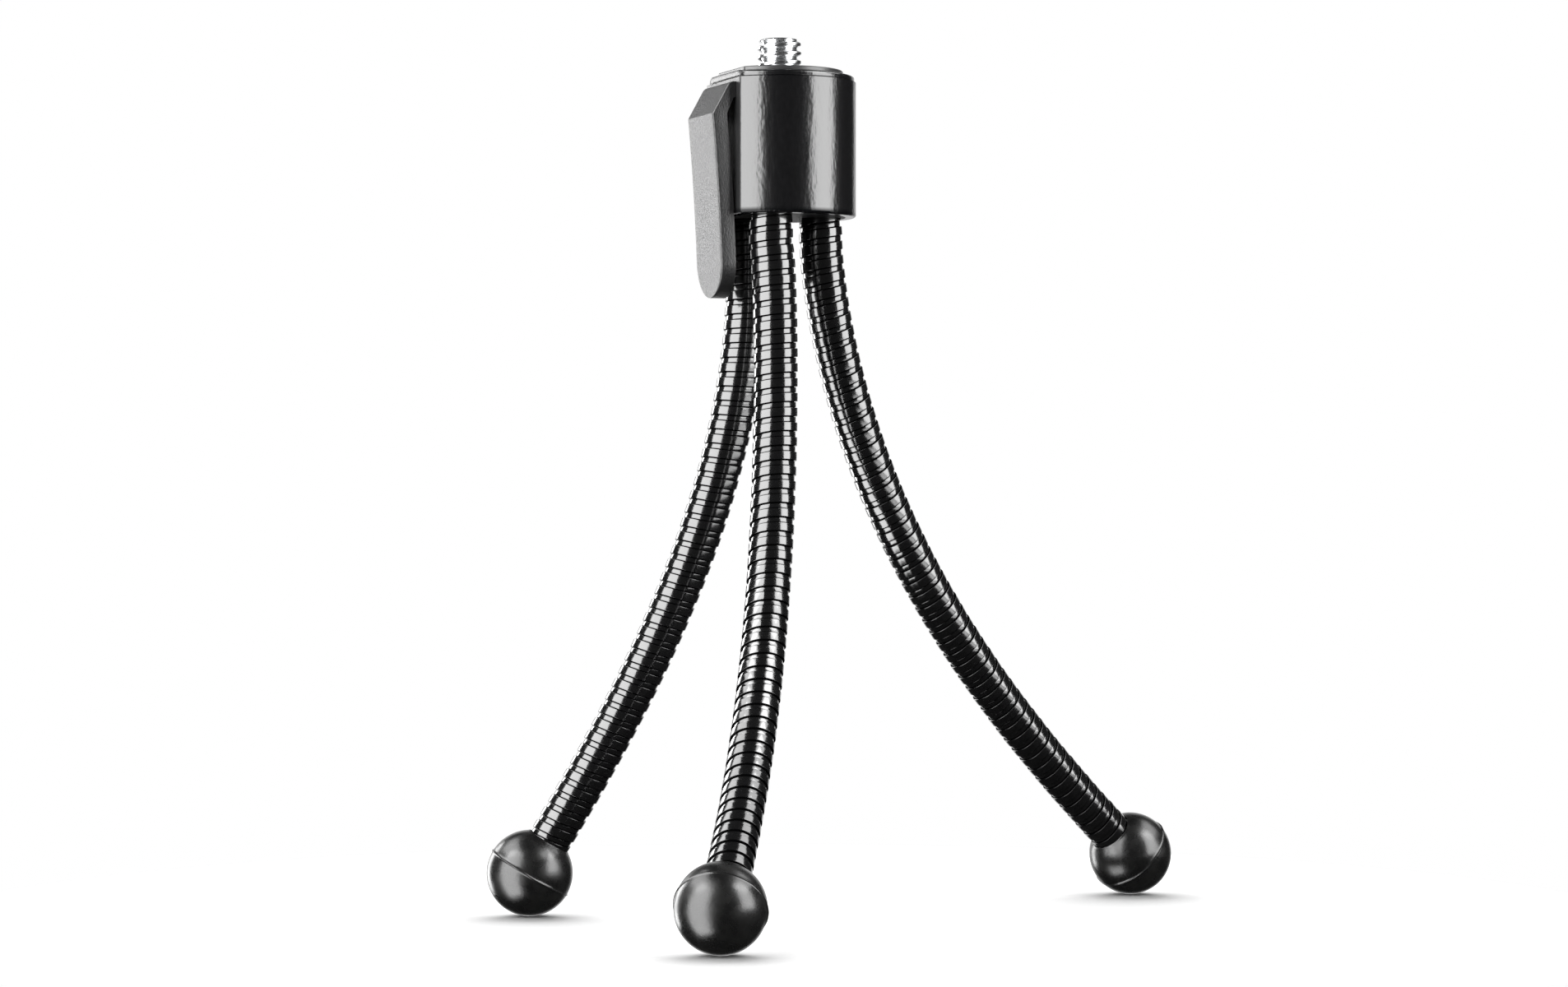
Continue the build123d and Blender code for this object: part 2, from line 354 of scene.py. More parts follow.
# %% [markdown]
# ## Lid
# The lid is a thin disc with one straight side. Its top falls away a little outside the pad, which
# is why a bright line runs round it. On the straight side it stands out over the clip as an upright
# edge, duller than the rest, with thin ragged flash left along the bottom. Rings of points that all
# follow one rounded outline give the disc and its edge, and noise along the straight side gives the
# flash.

# %% Directions on the head
ALONG_HINGE = np.array([-math.sin(CLIP_HEADING), math.cos(CLIP_HEADING), 0])
HEAD_RADIUS = 10.95
FLAT_DISTANCE = 8.6


def turned(out, along, up):
    """Points from distances towards the clip, along its hinge and upwards."""
    parts = np.stack(np.broadcast_arrays(out, along, up), -1)
    return parts @ np.array([TO_CLIP, ALONG_HINGE, (0, 0, 1.0)])


print("the head is", 2 * HEAD_RADIUS, "mm across and flat at", FLAT_DISTANCE, "mm")

# %% Lid plastic
lid_plastic = moulded_plastic("lid_plastic")
lid_flat = along_direction(lid_plastic, TO_CLIP)
vary(lid_plastic, "Roughness", lid_flat, 0.2, 0.34, span=(0.0080, 0.0083))
print("made", lid_plastic.name)

# %% Outline of the lid
LID_COLUMNS = 240
# Each row: distance in from the head's outline, and height
LID_ROWS = np.array([
    [2.6, -0.56], [1.95, -0.56], [1.3, -0.64], [0.72, -0.745], [0.5, -0.80], [0.34, -0.89],
    [0.25, -1.02], [0.24, -1.2], [0.24, -1.42], [0.26, -1.54], [0.34, -1.61], [0.5, -1.64],
    [2.6, -1.64],
])
OUTLINE_POWER = 34


def lid_outline(inset, angles):
    """At each angle the smooth smaller one of the circle's radius and of the flat's distance over
    the angle's cosine: powers of both are added and the root is taken. Both are divided by ten
    first, which keeps the powers small."""
    flat = (FLAT_DISTANCE - inset) / np.maximum(np.cos(angles), 0.05)
    circle = HEAD_RADIUS - inset
    both = (flat / 10) ** -OUTLINE_POWER + (circle / 10) ** -OUTLINE_POWER
    return both ** (-1 / OUTLINE_POWER) * 10


print("the lid is", round(2 * (HEAD_RADIUS - LID_ROWS[:, 0].min()), 2), "mm across")

# %% Straight side of the lid
# Each row: distance in from the head's outline, and height, where the edge stands upright
UPRIGHT_ROWS = np.array([[0.24, -0.7], [0.3, -0.61], [0.4, -0.575], [0.55, -0.56]])
LID_SHOULDER = -1.19
HALF_FLAT = 6.2
FLAT_FADE = 0.8
FLASH_TEETH = 90
FLASH_REACH = 7
TOOTH_POWER = 1.5
FLASH_STARTS = -1.43
FLASH_FADE = 0.1
FLASH_DROP = 0.6
FLASH_SPREAD = 0.12
EVEN_SHARE = 0.2
MIDDLE_SHARE = 0.25
LEAST_SHARE = 0.12
LENGTH_OF_GROWTH = 9
EDGE_INSET = 0.45
EDGE_STANDS_OUT = 0.29


def straight_side(inset, angles, radius, height):
    """Radius and height, changed along the straight side alone. The rows over the shoulder are
    lifted to the upright edge. Noise along the side lowers the last rows, more towards the far end,
    and pushes them out, which makes the flash."""
    along = radius * np.sin(angles)
    on_flat = np.clip((HALF_FLAT - np.abs(along)) / FLAT_FADE, 0, 1) * (np.cos(angles) > 0)
    teeth = np.random.default_rng(5).uniform(0, 1, FLASH_TEETH)
    places = np.linspace(-FLASH_REACH, FLASH_REACH, FLASH_TEETH)
    ragged = np.interp(along, places, teeth) ** TOOTH_POWER
    far = np.clip(MIDDLE_SHARE - along / LENGTH_OF_GROWTH, LEAST_SHARE, 1)
    upright = np.interp(inset, UPRIGHT_ROWS[:, 0], UPRIGHT_ROWS[:, 1])
    height = np.where(height > LID_SHOULDER, height + on_flat * (upright - height), height)
    low = np.clip((FLASH_STARTS - height) / FLASH_FADE, 0, 1) * (inset < EDGE_INSET)
    drop = FLASH_DROP * (EVEN_SHARE + (1 - EVEN_SHARE) * ragged)
    spread = EDGE_STANDS_OUT + far * FLASH_SPREAD * np.roll(ragged, 2, 1)
    return radius + low * on_flat * spread, height - low * on_flat * far * drop


print("the straight side has", FLASH_TEETH, "teeth of flash")

# %% Lid
def add_lid():
    """Rings under the outline, one for each row, with the straight side changed."""
    angle = 2 * math.pi * np.arange(LID_COLUMNS) / LID_COLUMNS
    inset, angles = np.meshgrid(LID_ROWS[:, 0], angle, indexing="ij")
    height = np.repeat(LID_ROWS[:, 1:], LID_COLUMNS, 1)
    radius, height = straight_side(inset, angles, lid_outline(inset, angles), height)
    grid = turned(radius * np.cos(angles), radius * np.sin(angles), height)
    points, faces = skin(grid, (0, 0, LID_ROWS[0, 1]), (0, 0, LID_ROWS[-1, 1]), flipped=True)
    lid = add_piece("lid", points, faces, lid_plastic, sharp=60.0)
    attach(lid, "head")
    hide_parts("head_lid")


add_lid()

# %% [markdown]
# ## Clip
# The clip turns on a bead, slopes out to a shoulder and then hangs down as a slightly hollow blade
# with a round end. A block under the slope stops it against the head. The same rounded rectangle
# drawn at every depth, wider or thinner, makes the whole blade in one surface.

# %% Rings of a rounded rectangle
FACE_COLUMNS = 11
FACE_SPREAD = 0.86
QUARTER_TURN = np.radians([0, 18, 36, 54, 72, 90])


def clip_rings(depth, inner, outer, half, outer_round, inner_round):
    """Ring of a rounded rectangle at each depth: its corners are quarter circles, whose sine and
    cosine are added to the middle of each corner."""
    reach = np.minimum(outer_round, half / 3)
    near = np.minimum(inner_round, (outer - inner) / 3)
    out_corner = (outer - reach)[:, None] + reach[:, None] * np.sin(QUARTER_TURN)
    side_corner = (half - reach)[:, None] + reach[:, None] * np.cos(QUARTER_TURN)
    in_corner = (inner + near)[:, None] - near[:, None] * np.cos(QUARTER_TURN)
    low_side = -(half - near)[:, None] - near[:, None] * np.sin(QUARTER_TURN)
    face = np.linspace(FACE_SPREAD, -FACE_SPREAD, FACE_COLUMNS)
    across = face * (half - reach)[:, None]
    back = -face * (half - near)[:, None]
    out = np.hstack([
        out_corner, np.repeat(outer[:, None], FACE_COLUMNS, 1), out_corner[:, ::-1],
        in_corner[:, ::-1], np.repeat(inner[:, None], FACE_COLUMNS, 1), in_corner,
    ])
    along = np.hstack([
        side_corner, across, -side_corner[:, ::-1], low_side[:, ::-1], back, -low_side,
    ])
    return turned(out, along, -depth[:, None])


print("a ring has", 4 * len(QUARTER_TURN) + 2 * FACE_COLUMNS, "corners")

# %% Profile of the blade
# Pairs are the distance from the screw's axis and the depth under the pad's top
HINGE = (8.9, 3.3)
BEAD_RADIUS = 1.1
BEAD_TOP = 2.2
TANGENT = (9.862, 2.767)
SHOULDER = (12.1, 6.8)
BLADE = np.polyfit([6.8, 20.2, 32.6], [12.1, 11.1, 10.6], 2)
BLADE_THICKNESS = 2.2
BLADE_LEAVES_BEAD = 4.4
HALF_WIDTH = 5.2
ROUND_END = 27.4


def blade_profile(depth):
    """Outer and inner distance and half width. The outside runs over the bead, straight to the
    shoulder and on along a shallow curve; the inside follows one blade's thickness behind. The half
    width falls as a circle's does at the round end."""
    bead = np.sqrt(np.maximum(BEAD_RADIUS**2 - (depth - HINGE[1]) ** 2, 0))
    blade = np.polyval(BLADE, depth)
    slope = np.interp(depth, [TANGENT[1], SHOULDER[1]], [TANGENT[0], SHOULDER[0]])
    under = np.interp(
        depth, [BLADE_LEAVES_BEAD, SHOULDER[1]], [HINGE[0], SHOULDER[0] - BLADE_THICKNESS]
    )
    on_slope = depth < SHOULDER[1]
    outer = np.where(depth <= TANGENT[1], HINGE[0] + bead, np.where(on_slope, slope, blade))
    hung = np.where(on_slope, under, blade - BLADE_THICKNESS)
    inner = np.where(depth < BLADE_LEAVES_BEAD, HINGE[0] - bead, hung)
    half = np.sqrt(np.maximum(HALF_WIDTH**2 - np.maximum(depth - ROUND_END, 0) ** 2, 0))
    return outer, inner, half


print("the clip is", round(ROUND_END + HALF_WIDTH - BEAD_TOP, 1), "mm long")

# %% Clip
BLADE_ROUNDING = (0.28, 0.12)
FIRST_RING = 0.005
SLOPE_DEPTHS = np.linspace(2.95, 6.6, 15)
SHOULDER_DEPTHS = [6.74, 6.8, 6.86]
BLADE_DEPTHS = np.linspace(7.1, ROUND_END, 30)
END_ANGLES = np.radians(np.linspace(6, 87, 20))
STOP_ROUNDING = 0.15
STOP_DEPTHS = np.array([4.75, 4.8, 4.95, 7.2, 7.35, 7.4])
STOP_INSETS = np.array([0.14, 0.04, 0.0, 0.0, 0.04, 0.14])
STOP_INNER, STOP_OUTER, STOP_MIDDLE = 8.92, 10.4, 9.6
STOP_HALF_WIDTH = 3.0


def add_clip():
    """Rings down the blade, closer together where it curves, and rings of the stop's block."""
    bead_depths = np.linspace(BEAD_TOP + FIRST_RING, TANGENT[1], 9)
    end_depths = ROUND_END + HALF_WIDTH * np.sin(END_ANGLES)
    depth = np.concatenate([bead_depths, SLOPE_DEPTHS, SHOULDER_DEPTHS, BLADE_DEPTHS, end_depths])
    outer, inner, half = blade_profile(depth)
    grid = clip_rings(depth, inner, outer, half, *BLADE_ROUNDING)
    middle = (inner + outer) / 2
    top = turned(middle[0], 0.0, -BEAD_TOP)
    tip = turned(middle[-1], 0.0, -(ROUND_END + HALF_WIDTH))
    points, faces = skin(grid, top, tip, flipped=False)
    stop = clip_rings(
        STOP_DEPTHS, STOP_INNER + STOP_INSETS, STOP_OUTER - STOP_INSETS,
        STOP_HALF_WIDTH - STOP_INSETS, STOP_ROUNDING, STOP_ROUNDING,
    )
    ends = turned(STOP_MIDDLE, 0.0, -STOP_DEPTHS[[0, -1]])
    stop_points, stop_faces = skin(stop, *ends, flipped=False, before=len(points))
    points = np.vstack([points, stop_points])
    faces = faces + stop_faces
    clip = add_piece("spring_clip", points, faces, clip_plastic, sharp=35.0)
    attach(clip, "clip")
    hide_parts("clip")


add_clip()

# %% [markdown]
# ## Where the legs run
# A joint of the frame sits at each bend of a leg. The real leg bends evenly, so its tilt is taken
# at the middle of each link and smoothed, and the centre line is the sum of small steps along it.
# A slight bow sideways, measured in the photograph, is added at the end.

# %% Joints and feet of a leg
LEGS = ("right", "left", "front")
FOOT_RADIUS = 6.2


def leg_joints(leg):
    """Places in millimetres of the bends of a leg, from the head down."""
    found = [j for j in frame["joints"] if j["child"].startswith(leg + "_part_")]
    found.sort(key=lambda j: j["child"])
    return np.array([j["pos_m"] for j in found]) / MM


def foot_centre(leg):
    """Middle of the foot's box, one radius above its lowest point."""
    low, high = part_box(leg + "_foot")
    middle = (np.array(low) + np.array(high)) / 2 / MM
    return np.array([middle[0], middle[1], low[2] / MM + FOOT_RADIUS])


print("bends in a leg:", {leg: len(leg_joints(leg)) for leg in LEGS})

# %% Smooth a leg's tilt
STEP = 0.05
SMOOTHING_LENGTH = 9


def smoothed(values):
    """Running mean under a bell of the smoothing length."""
    window = np.hanning(round(SMOOTHING_LENGTH / STEP))
    padded = np.pad(values, len(window) // 2, mode="edge")
    mean = np.convolve(padded, window / window.sum(), mode="same")
    return mean[len(window) // 2:][:len(values)]


print("a leg's tilt is smoothed over", SMOOTHING_LENGTH, "mm")

# %% Centre line of a leg
# Bow in millimetres, and the power of the share along the leg that places its peak
BOW = {"right": (0.2, 0.6), "left": (0.25, 0.4), "front": (0.85, 0.6)}


def unit(vector):
    """The vector over its length."""
    return vector / np.linalg.norm(vector)


def centre_line(leg):
    """Distances along a leg from its first bend, points, and the directions down and out.
    The tilt is the smoothed tilt of the links, and the points add up unit steps at that tilt. What
    is left at the foot is shared out evenly along the leg, and half a sine wave is the bow."""
    joints = leg_joints(leg)
    foot = foot_centre(leg)
    steps = np.diff(np.vstack([joints, foot]), axis=0)
    out = unit((foot - joints[0]) * (1, 1, 0))
    down = np.array([0, 0, -1.0])
    tilts = np.arctan2(steps @ out, steps @ down)
    ends = np.concatenate([[0], np.cumsum(np.linalg.norm(steps, axis=1))])
    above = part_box(leg + "_stub")[1][2] / MM - joints[0][2]
    reveal = -joints[0][2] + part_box("head_shell")[0][2] / MM
    distance = np.arange(-above, ends[-1] + STEP, STEP)
    knots = np.concatenate([[-above, -reveal], (ends[:-1] + ends[1:]) / 2])
    tilt = smoothed(np.interp(distance, knots, np.concatenate([[0, 0], tilts])))
    tangent = np.outer(np.sin(tilt), out) + np.outer(np.cos(tilt), down)
    outward = np.outer(np.cos(tilt), out) - np.outer(np.sin(tilt), down)
    points = np.cumsum(tangent, axis=0) * STEP
    points += joints[0] - down * above - points[0]
    miss = foot - points[-1]
    share = np.clip(distance / ends[-1], 0, 1)[:, None]
    bow, power = BOW[leg]
    points += share * miss + np.sin(math.pi * share**power) * np.array([bow, 0, 0])
    length = round(float(ends[-1] + above), 1)
    print(leg, "leg is", length, "mm long, shared out", np.round(miss, 2))
    return {
        "distance": distance, "points": points, "tangent": tangent, "outward": outward,
        "ends": ends, "above": above, "reveal": reveal, "joints": joints,
    }


print("legs bow sideways by", [bow for bow, power in BOW.values()], "mm")

# %% [markdown]
# ## The winding
# The leg is one flat outer wire wound round with a thin round wire in its gap. Its outline along
# the leg repeats at every turn, and the surface runs round the leg while it moves down by one turn,
# so its rows follow the wire. Where a row has gone once round it joins the row one turn on.
# Separate rings would be simpler, but a real winding never closes on itself.

# %% Outline of one turn
# Each row: distance down the leg, height over the crown, and how much painted shade lies between
# the wires there. The rows next to an edge stand close together, so that the flat crown between
# them mirrors flat.
PITCH = 2.12
CROWN_RADIUS = 3.13
SOCKET_RADIUS = 2.98
CROWN_MIDDLE = 0.62
CROWN_ENDS = 1.3
TURN = np.array([
    [0.00, -0.30, 1.0], [0.01, -0.12, 1.0], [0.03, -0.035, 0.8], [0.065, 0.0, 0.5],
    [0.09, 0.002, 0.0], [0.64, 0.004, 0.0], [1.165, 0.002, 0.0], [1.19, 0.0, 0.5],
    [1.225, -0.03, 1.0], [1.245, -0.10, 1.0], [1.255, -0.32, 1.0], [1.28, -0.50, 1.0],
    [1.31, -0.50, 1.0], [1.33, -0.36, 1.0], [1.345, -0.27, 1.0], [1.37, -0.232, 0.9],
    [1.40, -0.226, 0.3], [1.54, -0.218, 0.0], [1.70, -0.215, 0.0], [1.86, -0.218, 0.0],
    [2.00, -0.226, 0.3], [2.03, -0.232, 0.9], [2.055, -0.27, 1.0], [2.075, -0.36, 1.0],
    [2.09, -0.45, 1.0],
])
ROWS = len(TURN)
COLUMNS = 60
print("a turn has", ROWS, "rows of", COLUMNS, "points")

# %% Points of the winding
WANDER_TURNS = 400
TURNS_BETWEEN_LEGS = 120
LIFT = 0.018
LEAN = 0.014
INNER_WIRE_SHARE = 0.3
SOCKET_FADE = 2
wander = np.random.default_rng(11).uniform(-1, 1, (2, WANDER_TURNS))


def on_line(line, key, distance):
    """A vector of the centre line at any distances along it."""
    table = line[key]
    return np.stack([np.interp(distance, line["distance"], table[:, k]) for k in range(3)], -1)


def winding_points(line, rows, columns, shift):
    """Points of rows and columns. A row's place in the turn gives its height, and its distance
    grows by one turn over a full circle. The point is the centre line's point plus the radius times
    the cosine of the angle outward and its sine sideways. Slow noise along the wire lifts each turn
    and leans it over."""
    turn, place = np.divmod(rows, ROWS)
    down = TURN[place, 0]
    angle = 2 * math.pi * columns / COLUMNS
    distance = (turn * PITCH + down) + PITCH * columns / COLUMNS - line["above"]
    number = turn + columns / COLUMNS + TURNS_BETWEEN_LEGS * shift
    lift = LIFT * np.interp(number, np.arange(WANDER_TURNS), wander[0])
    lean = LEAN * np.interp(number, np.arange(WANDER_TURNS), wander[1]) * (down - CROWN_MIDDLE)
    crowned = np.where(down < CROWN_ENDS, 1.0, INNER_WIRE_SHARE)
    head_face = -line["reveal"]
    socket = [head_face, head_face + SOCKET_FADE]
    widening = np.interp(distance, socket, [SOCKET_RADIUS, CROWN_RADIUS])
    radius = widening + TURN[place, 1] + (lift + lean) * crowned
    centre = on_line(line, "points", distance)
    tangent = on_line(line, "tangent", distance)
    outward = on_line(line, "outward", distance)
    across = np.cross(tangent, outward)
    ring = np.cos(angle)[..., None] * outward + np.sin(angle)[..., None] * across
    return centre + radius[..., None] * ring


print("each turn is lifted by up to", LIFT, "mm")

# %% [markdown]
# A stretch of winding is cut along one row of the wire, so each of its ends is a loop that steps
# down by one turn. A shallow cone inside closes each loop. The painted shade between the turns goes
# on to the points as a number, because no noise could know where the wires are.

# %% One stretch of winding
CONE_DEPTH = 0.4


def winding_faces(count, first_extra, first_apex):
    """Squares between neighbouring rows, whose last column joins the row one turn on, and a fan at
    each end. The rows past the last turn have their own points at the seam."""
    ids = np.arange(count * COLUMNS).reshape(count, COLUMNS)
    extra = first_extra + np.arange(ROWS)
    grid = np.column_stack([ids, np.concatenate([ids[ROWS:, 0], extra])])
    quads = np.stack([grid[:-1, :-1], grid[:-1, 1:], grid[1:, 1:], grid[1:, :-1]], -1)
    start_loop = np.concatenate([ids[0], ids[ROWS:0:-1, 0]])
    end_loop = np.concatenate([ids[-1], extra[::-1]])
    faces = quads.reshape(-1, 4).tolist()
    return faces + fan(start_loop, first_apex, False) + fan(end_loop, first_apex + 1, True)


def winding_piece(name, line, first, last, shift):
    """The turns between two row numbers, with the painted shade between the turns on their points.
    """
    run = np.arange(first, last + 1)
    tail = np.arange(last - ROWS + 1, last + 1)
    rows, columns = np.meshgrid(run, np.arange(COLUMNS), indexing="ij")
    points = winding_points(line, rows, columns, shift).reshape(-1, 3)
    extra = winding_points(line, tail, np.full(ROWS, COLUMNS), shift)
    ends = np.array([first, last]) / ROWS * PITCH - line["above"] + PITCH / 2
    apexes = on_line(line, "points", ends + (CONE_DEPTH, -CONE_DEPTH))
    faces = winding_faces(len(run), len(points), len(points) + ROWS)
    points = np.vstack([points, extra, apexes])
    # Painted shade between the turns, one value for each point
    painted_gap_shade = np.concatenate([np.repeat(TURN[run % ROWS, 2], COLUMNS), TURN[tail % ROWS, 2], [1, 1]])
    piece = add_piece(name, points, faces, black_winding, sharp=50.0)
    gap_shade_layer = piece.data.attributes.new("painted_gap_shade", "FLOAT", "POINT")
    gap_shade_layer.data.foreach_set("value", painted_gap_shade.astype(np.float32))
    return piece


print("cones reach", CONE_DEPTH, "mm into the winding")

# %% [markdown]
# A leg is cut in the middle of each link, so each stretch between two cuts has a joint inside it.
# The last one ends in the foot and moves with it.

# %% Wind the three legs
REACH_INTO_FOOT = 0.5


def wind_leg(leg, shift):
    """All stretches of one leg, each with a joint inside it, and the leg's centre line."""
    line = centre_line(leg)
    ends = line["ends"]
    middles = (ends[:-1] + ends[1:]) / 2
    turns = np.round((middles + line["above"]) / PITCH - 0.5).astype(int)
    cuts = [0] + (turns * ROWS).tolist()
    bodies = ["head"] + [f"{leg}_part_{k}" for k in range(1, len(ends))]
    for k in range(len(cuts) - 1):
        piece = winding_piece(f"{leg}_winding_{k + 1}", line, cuts[k], cuts[k + 1], shift)
        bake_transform(piece)
        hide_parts(f"{leg}_stub" if k == 0 else f"{leg}_link_{k}")
    inside = ends[-1] + REACH_INTO_FOOT
    last = math.floor((inside + line["above"]) / PITCH) * ROWS
    piece = winding_piece(f"{leg}_winding_{len(cuts)}", line, cuts[-1], last, shift)
    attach(piece, bodies[-1])
    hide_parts(f"{leg}_link_{len(ends) - 1}")
    return line


lines = {leg: wind_leg(leg, shift) for shift, leg in enumerate(LEGS)}

# %% [markdown]
# ## The feet
# Each foot is a ball of rubber pushed on to the leg. Two mould halves met at its middle and left a
# raised line, a little uneven, and a thin lip stands round the leg. A ball with a line on it is a
# profile turned about the leg, and a few sine waves round the ball make the line uneven.

# %% Profile of a foot
UPPER_RADIUS = 6.17
UPPER_ANGLES = np.radians(np.linspace(-57.0, -3.2, 30))
LOWER_ANGLES = np.radians(np.linspace(2.6, 90.0, 46))[:-1]
# Each pair: radius, and height down the leg from the ball's centre
MOUTH = [(3.19, 0.9), (3.19, -5.2), (3.22, -5.29), (3.29, -5.27)]
MOULD_LINE = [
    (6.195, -0.21), (6.24, -0.14), (6.33, -0.05), (6.335, 0.03), (6.26, 0.10), (6.205, 0.17),
]


def foot_outline():
    """Radius and height pairs from inside the mouth, over the lip and the mould line, to the pole.
    On the ball they are its radius times the cosine and the sine of the angle."""
    above = UPPER_RADIUS * np.stack([np.cos(UPPER_ANGLES), np.sin(UPPER_ANGLES)], -1)
    below = FOOT_RADIUS * np.stack([np.cos(LOWER_ANGLES), np.sin(LOWER_ANGLES)], -1)
    return np.vstack([MOUTH, above, MOULD_LINE, below])


print("a foot's profile has", len(foot_outline()), "points")

# %% Ball feet
FOOT_COLUMNS = 120
LINE_REACH = 0.28
LINE_THICKENING = 0.035
LINE_WANDERING = 0.03
WAVES = (3, 5, 8, 13, 21)


def add_foot(leg, line, seed):
    """Surface of revolution about the leg's last direction, closed at the pole. Sine waves round
    the ball, which fade away from its middle as a bell does, thicken and thin its mould line."""
    outline = foot_outline()
    centre = foot_centre(leg)
    down = unit(centre - line["joints"][-1])
    side = unit(np.cross(down, (0, 0, 1)))
    front = np.cross(down, side)
    angle = 2 * math.pi * np.arange(FOOT_COLUMNS) / FOOT_COLUMNS
    radius, angles = np.meshgrid(outline[:, 0], angle, indexing="ij")
    height = np.repeat(outline[:, 1:2], FOOT_COLUMNS, 1)
    random = np.random.default_rng(seed)
    rough = sum(np.sin(k * angles + random.uniform(0, 6)) for k in WAVES) / len(WAVES)
    near = np.exp(-(height / LINE_REACH) ** 2)
    radius = radius + near * LINE_THICKENING * rough
    height = height + near * LINE_WANDERING * np.roll(rough, 9, 1)
    ring = np.cos(angles)[..., None] * side + np.sin(angles)[..., None] * front
    points = centre + radius[..., None] * ring + height[..., None] * down
    first, last = centre + outline[0, 1] * down, centre + FOOT_RADIUS * down
    points, faces = skin(points, first, last, flipped=True)
    foot = add_piece(leg + "_ball_foot", points, faces, foot_rubber)
    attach(foot, f"{leg}_part_{len(line['ends']) - 1}")
    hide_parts(leg + "_foot")


for number, leg in enumerate(LEGS):
    add_foot(leg, lines[leg], seed=number + 3)

# %% [markdown]
# ## The camera screw
# A rolled thread has round crests and roots. A surface whose radius swings once per pitch, and
# whose swing moves on with the angle, is such a thread. The radius is held under an outline that
# rounds the tip, and the neck and the six-sided head are more rings of the same surface.

# %% Thread of the screw
ROOT_RADIUS = 2.52
THREAD_DEPTH = 0.66
CREST_WIDENING = 1.12
FLANK_POWER = 0.85
# Each pair: height, and the largest radius there
SCREW_TIP = np.array([
    [-1.2, 2.45], [0.0, 3.1], [3.0, 3.2], [4.1, 3.1], [4.45, 2.85], [4.62, 2.5],
])


def screw_radius(height, turn):
    """The radius swings by a rounded wave between root and crest, under the outline of the tip. The
    wave is a power of half a cosine plus one half, widened and cut off flat at the crest."""
    wave = 0.5 + 0.5 * np.cos(2 * math.pi * turn)
    thread = ROOT_RADIUS + THREAD_DEPTH * np.clip(CREST_WIDENING * wave**FLANK_POWER, 0, 1)
    return np.minimum(thread, np.interp(height, SCREW_TIP[:, 0], SCREW_TIP[:, 1]))


print("the thread is", round(2 * (ROOT_RADIUS + THREAD_DEPTH), 2), "mm across its crests")

# %% Camera screw
THREAD_PITCH = 1.27
THREAD_PHASE = 0.05
SCREW_COLUMNS = 96
SCREW_RINGS = 74
SCREW_TOP = 4.65
THREAD_BOTTOM = -1.1
THREAD_TOP = SCREW_TOP - 0.03
END_RADII = np.array([2.2, 1.4, 0.7])
HEXAGON_HEIGHTS = np.array([-6.15, -3.75, -3.65])
HEXAGON_APOTHEMS = np.array([4.6, 4.74, 4.64])
NECK_HEIGHT, NECK_RADIUS = -3.6, 2.85


def add_screw():
    """Rings from the hexagon to the tip, each at one height. The thread's phase at a point is its
    height over the pitch less its angle over a full circle, and a hexagon's radius is its apothem
    over the cosine of the angle from the middle of the nearest side."""
    angle = 2 * math.pi * np.arange(SCREW_COLUMNS) / SCREW_COLUMNS
    rings = np.linspace(THREAD_BOTTOM, THREAD_TOP, SCREW_RINGS)
    height, angles = np.meshgrid(rings, angle, indexing="ij")
    turn = height / THREAD_PITCH - angles / (2 * math.pi) - THREAD_PHASE
    thread = screw_radius(height, turn)
    sector = math.pi / 3
    from_side = (angle + sector / 2) % sector - sector / 2
    hexagon = HEXAGON_APOTHEMS[:, None] / np.cos(from_side)
    neck = np.full((1, SCREW_COLUMNS), NECK_RADIUS)
    end = np.repeat(END_RADII[:, None], SCREW_COLUMNS, 1)
    radius = np.vstack([hexagon, neck, thread, end])
    end_heights = np.full(len(END_RADII), SCREW_TOP)
    heights = np.concatenate([HEXAGON_HEIGHTS, [NECK_HEIGHT], rings, end_heights])
    height = np.repeat(heights[:, None], SCREW_COLUMNS, 1)
    points = np.stack([radius * np.cos(angle), radius * np.sin(angle), height], -1)
    points, faces = skin(points, (0, 0, HEXAGON_HEIGHTS[0]), (0, 0, SCREW_TOP), flipped=False)
    screw = add_piece("threaded_screw", points, faces, chrome_screw, sharp=60.0)
    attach(screw, "head")
    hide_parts("camera_screw")


add_screw()

# %% [markdown]
# ## Floor and light
# The tripod stands on pale paint. The camera sees the paint glow as white as the wall, fainter
# where a foot stands between the paint and the bright wall, so that each foot has a soft shadow
# towards the camera. A reflection in the black parts sees no floor at all, only a dark patch right
# under the tripod.

# %% Floor paint
CONTACT_REACH = 26.0
TO_WALL = (0.0, 0.95, 0.3)
DARKEST_OPENNESS = 0.6


def calculate(tree, operation, first, second):
    """Result of one sum with two values, each a socket or a number."""
    return add_node(tree, "ShaderNodeMath", {0: first, 1: second}, operation=operation)[0]


def glow_for_camera(tree, path, level):
    """The paint with a glow added: its level where the camera looks, times how open the paint lies
    towards the wall."""
    facing = add_node(tree, "ShaderNodeCombineXYZ", dict(zip("XYZ", TO_WALL)))
    contact = add_node(
        tree, "ShaderNodeAmbientOcclusion",
        {"Distance": CONTACT_REACH * MM, "Normal": facing["Vector"]}, samples=16,
    )
    openness = add_node(
        tree, "ShaderNodeMapRange", {"Value": contact["AO"], "From Min": DARKEST_OPENNESS}
    )
    seen = calculate(tree, "MULTIPLY", path["Is Camera Ray"], openness["Result"])
    strength = calculate(tree, "MULTIPLY", seen, level)
    glow = add_node(tree, "ShaderNodeEmission", {"Strength": strength})
    paint = tree.nodes["Principled BSDF"].outputs[0]
    return add_node(tree, "ShaderNodeAddShader", {0: paint, 1: glow[0]})[0]


floor_paint = new_material("floor_paint", (0.3, 0.3, 0.3), roughness=0.9)
tree = floor_paint.node_tree
path = add_node(tree, "ShaderNodeLightPath", {})
painted = glow_for_camera(tree, path, level=0.85)
print("the glow reaches full strength", CONTACT_REACH, "mm from a foot")

